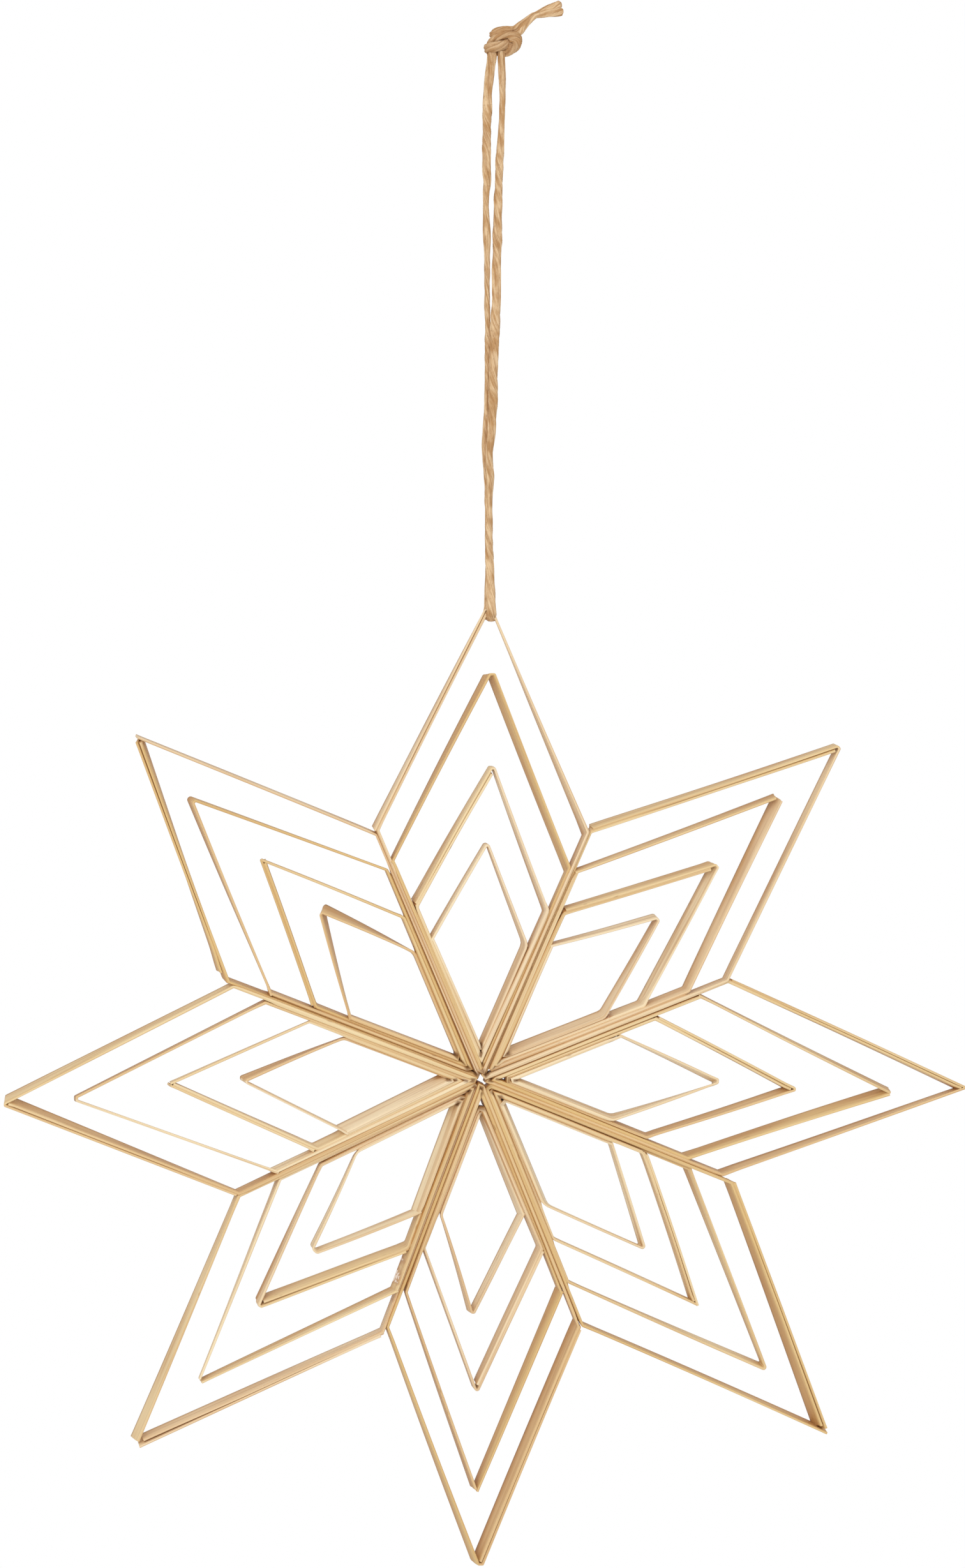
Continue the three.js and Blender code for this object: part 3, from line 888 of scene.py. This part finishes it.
class Side:
    """The clockwise or the anticlockwise half of a frame: its folds, directions, leans and shifts."""

    # The folds are given by their numbers: at the hub, at the bend, where the side starts, at the tip.
    def __init__(self, path, folds, sideways, leans, shifts):
        self.hub, self.bend, self.foot, self.tip = folds
        self.sideways = sideways
        self.tip_lean, self.foot_lean = leans
        self.tip_shift, self.foot_shift = shifts
        self.out = outwards(path[self.tip] - path[self.foot], sideways)
        self.spoke = unit(path[self.bend] - path[self.hub])
        self.spoke_out = outwards(self.spoke, sideways)


def place_folds(path, sides, tip, node, level, reaches, rng):
    """Move a frame's folds to where its sides and spokes stand, and give the corner at the hub."""
    last = sides[1]
    for side in sides:
        spread = max(LEAST_SPREAD, TIP_SPREAD + side.tip_shift)
        side.tip_move = tip + side.sideways * spread - path[side.tip]
        path[side.tip] += side.tip_move
    drawn_in = SQUEEZE * (level + 0.5) + rng.uniform(-UNEVEN, UNEVEN, 4)
    spokes = [(path[side.hub] + side.spoke_out * inwards, side.spoke)
              for side, inwards in zip(sides, drawn_in)]
    corner = meeting(*spokes[0], *spokes[1])
    crush = HUB_CRUSH[level] + rng.choice(MORE_CRUSH, 2)
    if node in OTHER_HUB_CRUSH:
        crush[:] = OTHER_HUB_CRUSH[node]
    for side, short, inwards in zip(sides, crush, drawn_in[2:]):
        path[side.hub] = corner + side.spoke * short
        side.foot_move = side.spoke_out * inwards + side.spoke * side.foot_shift / (side.spoke @ side.out)
        path[side.bend] += side.foot_move
    path[-1] += last.foot_move

    # A lapped end moves with its side and runs on along it.
    inner_reach, outer_reach = reaches
    if is_lapped(level):
        path[0] += last.out * (last.out @ last.tip_move) + unit(path[0] - path[1]) * inner_reach
    else:
        path[0] += last.spoke * inner_reach
    path[-1] += unit(path[-1] - path[-2]) * outer_reach
    return corner


def lean_folds(path, sides, point, level, rng):
    """The slants of a frame's folds and ends."""
    first, last = sides
    slants = np.zeros_like(path)
    slants[[first.tip, last.tip]] = shared_slant(first.out, first.tip_lean, last.out, last.tip_lean)
    for side, spoke in zip(sides, (point, point - 1)):
        spoke_lean = rng.uniform(-SPOKE_LEAN, SPOKE_LEAN) - FAN_SHARES[level] * SPOKE_FANS[spoke]
        slants[side.hub] = side.spoke_out * spoke_lean
        slants[side.bend] = shared_slant(side.out, side.foot_lean, side.spoke_out, spoke_lean)
    slants[-1] = last.out * last.foot_lean
    if is_lapped(level):
        slants[0] = last.out * last.tip_lean
    return slants


print("lapped frames:", [level + 1 for level in range(NESTED) if is_lapped(level)])

# %% [markdown]
# ## One frame after another
# A broken tip cuts the line of the folds in two, and both halves end raggedly where the fold was.
# What a whole frame shares, such as how far its sides bow and how full of glue its seams are, is
# drawn once and passed on to the bending. Every frame takes the place of its solid.

# %% Frames
FIRST_SEED = 100
SEEDS_PER_POINT = 10
# How far some tips are moved along their axis, and how far every tip rises over the line of its folds.
TIP_REACH = {"top_frame_2": 0.7, "upper_left_frame_2": -1.1, "upper_left_frame_3": 0.3}
TIP_CAP = 0.25
SPOKE_THICKNESS = 0.64
BEND_RADII = (0.6, 0.7, 1.2, 2.4)
UNLIKE = (0.8, 1.2)
# The most that a side bows and cups, how far back it may be sunk, and how full of glue its seam may be.
BOW = 0.2
CUP = 0.12
SUNK = (-0.4, -0.2, 0.0, 0.3, 0.9)
FILLED = (0.0, 0.0, 0.5, CLOSED_SEAM)
LAP_SPLAY = {"upper_left_frame_1": 0.3}
RAGGED_CUT = 0.15
RAGGED_BREAK = 0.16
GRAIN_APART = 0.7
TONE_SPREAD = 0.12
HUE_SPREAD = 0.15
GLUE_SPREAD = 2.6
# The painted shade in a fold at the hub: how far from the corner its middle is, and how far it spreads.
PIT_PLACE = 1.1
PIT_SPREAD = 1.5


def shades_of(points, look, axis, spoke_end, corner, rng):
    """How brown and how yellow each point of a strip is, how much glue has dried on it, and its painted shade
    at the hub.
    """
    flat = points[:, [0, 2]] - HUB
    words = look.split()
    looks = np.where((flat @ turned_right(axis) > 0)[:, None], LOOKS[words[0]], LOOKS[words[-1]])
    spot_distance = norm(flat[:, None] - np.array(GLUE_SPOTS), axis=2).min(axis=1)
    pit_distance = norm(flat - corner - axis * PIT_PLACE, axis=1)
    return {"tone": looks[:, 0] + rng.uniform(-TONE_SPREAD, TONE_SPREAD),
            "hue": looks[:, 1] + rng.uniform(-HUE_SPREAD, HUE_SPREAD),
            "dried_glue": np.clip(1 - spot_distance / GLUE_SPREAD, 0, 1) * (flat @ axis < spoke_end),
            "painted_pit_shade": np.clip(1 - pit_distance / PIT_SPREAD, 0, 1)}


def make_frame(point, level):
    """One dressed strip, in the place of its solid."""
    name = POINT_NAMES[point]
    node = f"{name}_frame_{level + 1}"
    kind = TIP_KINDS[name][level]
    lapped = is_lapped(level)
    rng = np.random.default_rng(FIRST_SEED + SEEDS_PER_POINT * point + level)
    path = folds_of(node).copy()
    ccw_bend, ccw_hub, cw_hub, cw_bend, cw_tip, ccw_tip = np.arange(6) + lapped
    tip = (path[cw_tip] + path[ccw_tip]) / 2
    axis = unit(tip)
    tip += axis * TIP_REACH.get(node, 0.0)
    clockwise = turned_right(axis)
    gape, *reaches = LAPS[name][level // 2] if lapped else NO_LAP
    leans, shifts = LEANS[name][level], SHIFTS[name][level]
    sides = (Side(path, (cw_hub, cw_bend, cw_bend, cw_tip), clockwise, leans[:2], shifts[:2]),
             Side(path, (ccw_hub, ccw_bend, -1, ccw_tip), -clockwise, leans[2:], shifts[2:]))
    corner = place_folds(path, sides, tip, node, level, reaches, rng)
    slants = lean_folds(path, sides, point, level, rng)

    # The glue reaches to the bend outside, and inside to the bend of the next frame, whose number is one
    # less or one more, because only one of the two is lapped.
    spoke_end = path[cw_bend] @ axis
    next_bend = cw_bend - 1 if lapped else cw_bend + 1
    inner_end = folds_of(f"{name}_frame_{level + 2}")[next_bend] @ axis if level < NESTED - 1 else 0.0
    radii = [0.0] * len(path)
    radii[cw_bend] = radii[ccw_bend] = BEND_RADII[level] * rng.uniform(*UNLIKE)
    radii[cw_tip] = radii[ccw_tip] = FOLD_RADIUS[kind]
    shape = {
        "axis": axis, "tip": tip @ axis + TIP_CAP, "spoke_end": spoke_end, "glued_to": (spoke_end, inner_end),
        "bows": rng.uniform(-BOW, BOW, 2), "cup": rng.uniform(-CUP, CUP), "sunk": rng.choice(SUNK, 2),
        "spoke_thickness": SPOKE_THICKNESS * rng.uniform(*UNLIKE), "filled": rng.choice(FILLED, 2),
        "first_side": norm(path[1] - path[0]) if lapped else 0.0,
        "last_side": norm(path[-1] - path[-2]),
        "gape": gape, "splay": LAP_SPLAY.get(node, 0.0), "crack": CRACK_DEPTH[kind],
    }

    # A broken tip makes two parts of the strip.
    parts = [(slice(None), shape, (RAGGED_CUT, RAGGED_CUT))]
    if kind == "broken":
        for side, past in zip(sides, BROKEN_ENDS[node]):
            path[side.tip] += unit(path[side.tip] - path[side.foot]) * past
            slants[side.tip] = side.out * side.tip_lean
        parts = [(slice(0, cw_tip + 1), dict(shape, last_side=0.0), (RAGGED_CUT, RAGGED_BREAK)),
                 (slice(ccw_tip, None), dict(shape, first_side=0.0), (RAGGED_BREAK, RAGGED_CUT))]
    bent = [bend_strip(path[part], radii[part], slants[part], part_shape, rng, ragged)
            for part, part_shape, ragged in parts]
    points, faces = joined([strip[:2] for strip in bent])
    grain = np.vstack([strip[2] + np.array([GRAIN_APART * (NESTED * point + level + number / 2), 0, 0])
                       for number, strip in enumerate(bent)])

    shades = shades_of(points, STRIP_LOOKS[name][level], axis, spoke_end, corner, rng)
    piece = make_piece(f"straw_{node}", points, faces, grain, shades)
    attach(piece, "root")
    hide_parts(node)
    return piece


strips = [make_frame(point, level) for point in range(len(POINT_NAMES)) for level in range(NESTED)]
print(len(strips), "strips with", sum(len(s.data.polygons) for s in strips), "faces")

# %% [markdown]
# ## The look of straw
# Straw is pale gold with long fibres, lighter and darker side by side, and now and then a brown fleck.
# The grain has to run along the strip and round its folds, so the noise is laid on the unrolled strip
# and stretched a hundredfold along it, which turns blots into fibres. Two numbers kept with every
# strip make one paler or rosier than the next. The broad sides are browner than the edges, in patches,
# and painted shade darkens them towards their back, most of all at the back rim. Glue leaves amber
# smears in a few spokes, the seams are golden brown partly as painted shade, and painted shade lies in
# the folds at the hub.

# %% Straw
straw = bpy.data.materials.new("straw")
skin = Finish(straw)
fibres = skin.noise(skin.stretched("grain", (14, 500, 2600)), detail=3)
fine_fibres = skin.noise(skin.stretched("grain", (40, 1200, 6500)), detail=1)
patches = skin.noise(skin.stretched("grain", (26, 160, 200)), detail=2)
shades_along = skin.noise(skin.stretched("grain", (30, 40, 0)), detail=1)
flecks = skin.noise(skin.stretched("grain", (260, 1300, 1200)), detail=1)
tone, hue, dried_glue, painted_pit_shade = [skin.shade(name) for name in ("tone", "hue", "dried_glue", "painted_pit_shade")]
in_mm = skin.stretched("grain", (1, 1000, 1000))
across_strip = skin.node("ShaderNodeSeparateXYZ", None, {0: in_mm}, out="Y")
through_strip = skin.node("ShaderNodeSeparateXYZ", None, {0: in_mm}, out="Z")
off_centre = skin.node("ShaderNodeMath", {"operation": "ABSOLUTE"}, {0: through_strip})

pale = skin.mix(hue, colour(247, 227, 193), colour(244, 222, 175))
gold = skin.mix(hue, colour(233, 200, 153), colour(225, 190, 127))
base = skin.mix(skin.between(tone * 0.7 + patches * 0.7, 0.35, 1.05), pale, gold)
on_face = skin.between(off_centre + fibres * 0.1, 0.24, 0.33)
# Painted shade: the broad sides are darkened towards their back, where less light reaches.
painted_shade_to_back = skin.between(across_strip, -2.4, 1.2)
smear = dried_glue + skin.noise(skin.stretched("grain", (900, 1100, 1100)), detail=1) * 0.6
skin_colour = skin.painted(base, (
    # Brown patches on the skin side, and painted shade that deepens towards its back and along its back rim.
    (shades_along + tone * 0.35, 0.4, 0.95, on_face * painted_shade_to_back * 0.9, (198, 148, 91)),
    (across_strip + fibres * 0.6, 1.7, 2.6, on_face * 0.55, (142, 98, 56)),
    # Broad fibres, fine fibres and flecks.
    (fibres, 0.46, 0.66, 0.5, (202, 155, 99)),
    (fine_fibres, 0.5, 0.72, 0.24 + on_face * 0.12, (184, 132, 80)),
    (flecks, 0.74, 0.82, 0.45, (140, 92, 48)),
    # Seam glue, golden brown partly as painted groove shade, then its dried smears with pale middles.
    (off_centre, 0.36, 0.47, 0.25 + skin.between(patches, 0.38, 0.6) * 0.65, (196, 141, 76)),
    (smear, 0.6, 0.78, dried_glue * 0.8, (176, 110, 60)),
    (smear, 0.86, 0.92, 1.0, (255, 242, 230)),
    # Painted shade in the folds at the hub.
    (painted_pit_shade + fibres * 0.5, 0.5, 0.95, 0.8, (124, 74, 22)),
))
ridges = (fibres + fine_fibres * 0.5) * (1 - on_face * 0.9)
relief = skin.node("ShaderNodeBump", None, {"Strength": 0.3, "Distance": 0.00006, "Height": ridges})
skin.surface({"Base Color": skin_colour, "Roughness": 0.42 + fibres * 0.25, "Normal": relief})
for strip in strips:
    strip.data.materials.append(straw)
print("straw uses", len(skin.tree.nodes), "nodes")

# %% [markdown]
# ## The look of raffia
# Raffia is browner and duller than straw. Its fibres wind round with the twist, pale and dark side by
# side, with painted shade in its creases, small flecks, and paler, frayed places on its ridges.

# %% Raffia
twine = bpy.data.materials.new("raffia")
leaf = Finish(twine)
leaf_fibres = leaf.noise(leaf.stretched("grain", (170, 4000, 4000)), detail=3)
leaf_patches = leaf.noise(leaf.stretched("grain", (280, 800, 800)), detail=3)
leaf_flecks = leaf.noise(leaf.stretched("grain", (1300, 4200, 4200)), detail=2)
painted_crease_shade = leaf.shade("painted_crease_shade")
leaf_base = leaf.mix(leaf.between(leaf_patches, 0.36, 0.66), colour(232, 199, 155), colour(193, 147, 95))
# Painted shade darkens the creases, and the whole knot.
leaf_crease_shaded = leaf.mix(painted_crease_shade * 0.6, leaf_base, colour(164, 115, 68))
leaf_colour = leaf.painted(leaf_crease_shaded, (
    # Dark fibres, the paler frayed places between them, and flecks.
    (leaf_fibres, 0.47, 0.68, 0.65, (168, 121, 74)),
    (leaf_fibres, 0.47, 0.3, 0.35, (240, 214, 176)),
    (leaf_flecks, 0.6, 0.72, 0.55, (136, 95, 56)),
))
leaf_relief = leaf.node("ShaderNodeBump", None, {"Strength": 0.7, "Distance": 0.00015,
                                                 "Height": leaf_fibres + leaf_flecks * 0.4})
leaf.surface({"Base Color": leaf_colour, "Roughness": 0.62 + leaf_fibres * 0.2, "Normal": leaf_relief})
for piece in (loop, knot):
    piece.data.materials.append(twine)
print("raffia uses", len(leaf.tree.nodes), "nodes")
